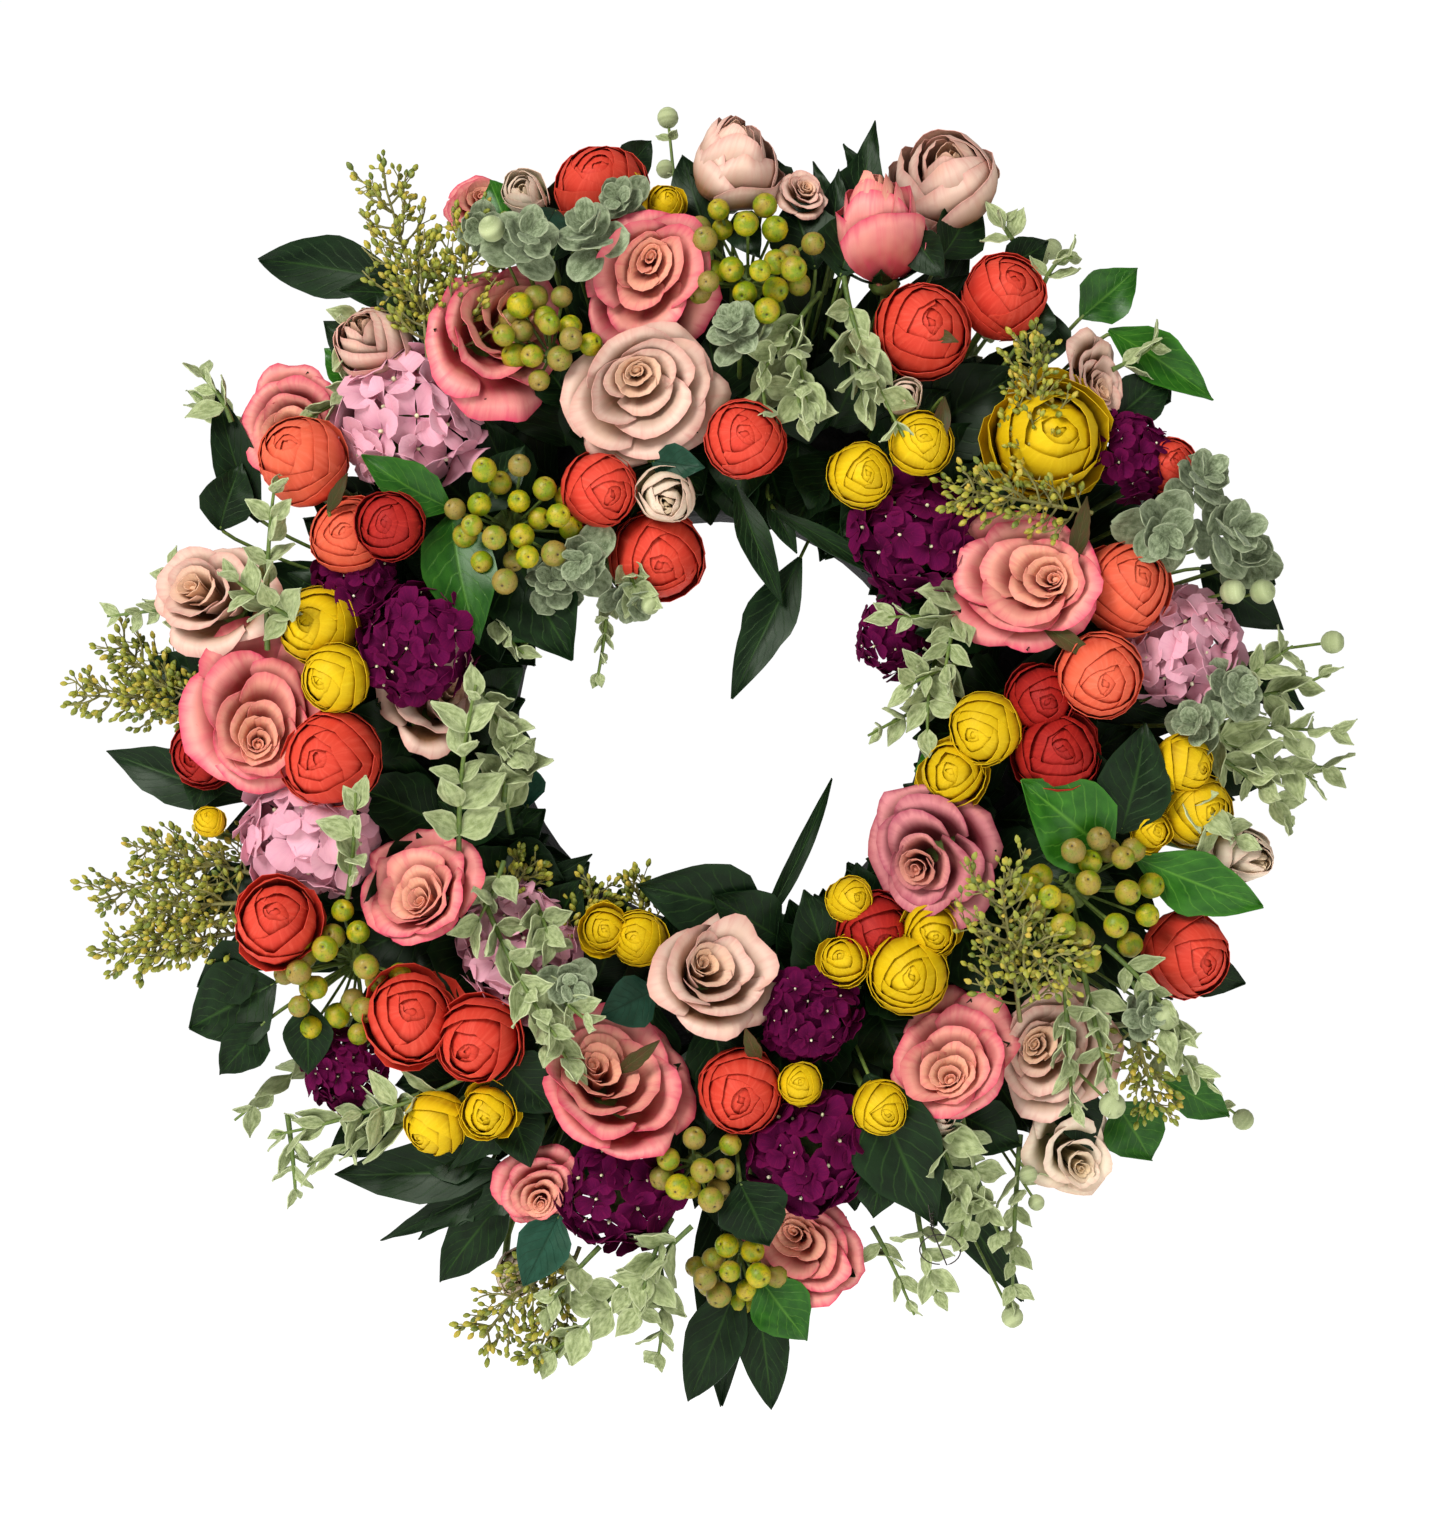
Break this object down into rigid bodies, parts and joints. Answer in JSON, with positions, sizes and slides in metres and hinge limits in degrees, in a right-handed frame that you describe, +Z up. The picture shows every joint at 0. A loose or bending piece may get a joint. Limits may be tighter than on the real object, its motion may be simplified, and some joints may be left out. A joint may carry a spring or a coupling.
{
  "type": "flower wreath",
  "caption": "Round artificial flower wreath: silk roses, ranunculus, hydrangea, berries and leaves planted on a half-round foam ring with a hinged wire hanging loop.",
  "frame": {"origin": "where the nail carries the top of the wire hanging loop", "axes": "+Z up, +Y into the wall, -Y out through the flowers, +X to the right of somebody looking at the flowers"},
  "size_m": [0.6522, 0.1243, 0.657],
  "materials": {
    "foam": "matt black sprayed foam",
    "hanger_wire": "galvanised",
    "pink_petals": "printed silk",
    "blush_petals": "printed silk",
    "coral_petals": "printed silk",
    "yellow_petals": "printed silk",
    "pink_florets": "printed silk",
    "purple_florets": "printed velvet",
    "berries": "painted, blushed brown",
    "filler_buds": "moulded",
    "sage_leaves": "flocked",
    "dark_leaves": "waxed fabric, veined",
    "stems": "plastic over wire"
  },
  "bodies": {
    "wreath": {"berry_cluster_01": "berries", "berry_cluster_02": "berries", "berry_cluster_03": "berries", "berry_cluster_04": "berries", "blush_rose_01": "blush_petals", "blush_rose_02": "blush_petals", "blush_rose_03": "blush_petals", "blush_rose_04": "blush_petals", "blush_rose_05": "blush_petals", "blush_rose_06": "blush_petals", "blush_rose_07": "blush_petals", "blush_rose_08": "blush_petals", "coral_ranunculus_01": "coral_petals", "coral_ranunculus_02": "coral_petals", "coral_ranunculus_03": "coral_petals", "coral_ranunculus_04": "coral_petals", "coral_ranunculus_05": "coral_petals", "coral_ranunculus_06": "coral_petals", "coral_ranunculus_07": "coral_petals", "coral_ranunculus_08": "coral_petals", "coral_ranunculus_09": "coral_petals", "coral_ranunculus_10": "coral_petals", "coral_ranunculus_11": "coral_petals", "coral_ranunculus_12": "coral_petals", "dark_leaf_bottom": "dark_leaves", "dark_leaf_lower_right": "dark_leaves", "dark_leaf_upper_left": "dark_leaves", "filler_spray_left_lower": "filler_buds", "filler_spray_left_upper": "filler_buds", "foam_ring": "foam", "pink_hydrangea_01": "pink_florets", "pink_hydrangea_02": "pink_florets", "pink_hydrangea_03": "pink_florets", "pink_rose_01": "pink_petals", "pink_rose_02": "pink_petals", "pink_rose_03": "pink_petals", "pink_rose_04": "pink_petals", "pink_rose_05": "pink_petals", "pink_rose_06": "pink_petals", "pink_rose_07": "pink_petals", "pink_rose_08": "pink_petals", "pink_rose_09": "pink_petals", "purple_hydrangea_01": "purple_florets", "purple_hydrangea_02": "purple_florets", "purple_hydrangea_03": "purple_florets", "purple_hydrangea_04": "purple_florets", "rose_bud_01": "pink_petals", "sage_sprig_lower_left": "sage_leaves", "sage_sprig_lower_right": "sage_leaves", "sage_sprig_right": "sage_leaves", "sage_sprig_top_stalk": "sage_leaves", "sage_sprig_upper_left": "sage_leaves", "sage_sprig_upper_right": "sage_leaves", "staple_left": "hanger_wire", "staple_right": "hanger_wire", "yellow_ranunculus_01": "yellow_petals", "yellow_ranunculus_02": "yellow_petals", "yellow_ranunculus_03": "yellow_petals", "yellow_ranunculus_04": "yellow_petals"},
    "loop": {"hanging_loop": "hanger_wire"}
  },
  "joints": [
    {"name": "loop_hinge", "type": "hinge", "parent": "wreath", "child": "loop", "pos_m": [0, 0, -0.0361], "axis": [-1, 0, 0], "range_deg": [0, 178]}
  ]
}
